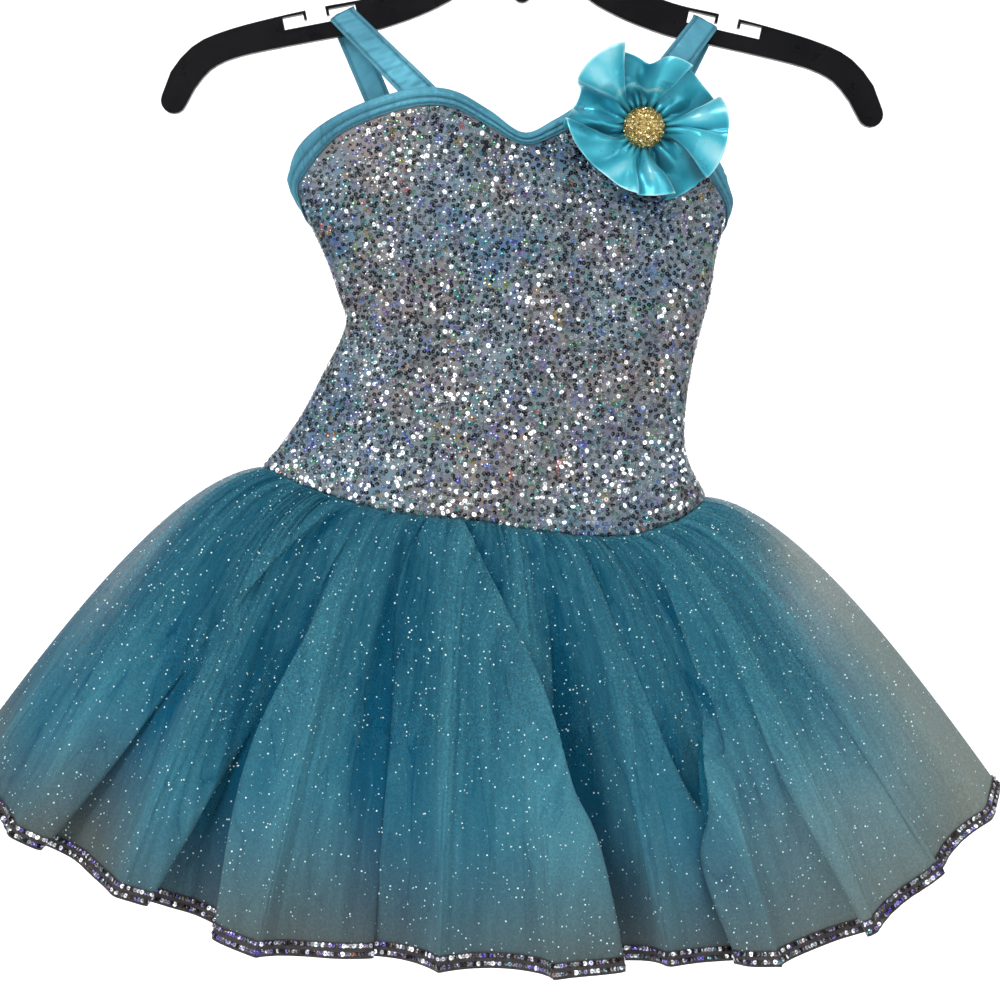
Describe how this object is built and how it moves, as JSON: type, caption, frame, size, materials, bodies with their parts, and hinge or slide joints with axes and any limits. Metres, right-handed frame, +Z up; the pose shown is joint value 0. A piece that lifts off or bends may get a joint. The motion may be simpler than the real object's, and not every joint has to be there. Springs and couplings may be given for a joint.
{
  "type": "dance leotard with tulle skirt on hanger",
  "caption": "Child's dance leotard with a sequinned bodice, gathered teal tulle skirt and satin flower, hanging by its straps from a black hanger.",
  "frame": {"origin": "where a rail touches the inside of the hanger's hook, at its top", "axes": "+X to the viewer's right of the garment's front, +Y from its front to its back, +Z up"},
  "size_m": [0.5182, 0.1758, 0.5789],
  "materials": {
    "sequin_cloth": "silver-grey sequins on net, iridescent",
    "aqua_spandex": "stretch cloth with a foil-dot sheen",
    "teal_tulle": "fine net, matte, with glitter",
    "sequin_trim": "rows of iridescent sequins",
    "satin_ribbon": "satin, glossy",
    "gold_glitter": "gold glitter",
    "black_plastic": "semi-gloss, moulded",
    "hook_steel": "plated wire"
  },
  "bodies": {
    "root": {"bodice_front": "sequin_cloth", "bodice_back": "aqua_spandex", "binding_front": "aqua_spandex", "binding_back": "aqua_spandex", "brief_front": "aqua_spandex", "brief_back": "aqua_spandex", "skirt_top_front": "teal_tulle", "skirt_top_back": "teal_tulle", "skirt_middle_front": "teal_tulle", "skirt_middle_back": "teal_tulle", "skirt_under_front": "teal_tulle", "skirt_under_back": "teal_tulle", "hem_trim_front": "sequin_trim", "hem_trim_back": "sequin_trim", "strap_left": "aqua_spandex", "strap_right": "aqua_spandex", "flower_ribbon": "satin_ribbon", "flower_button": "gold_glitter", "hanger_body": "black_plastic", "hanger_hook": "hook_steel"}
  },
  "joints": []
}
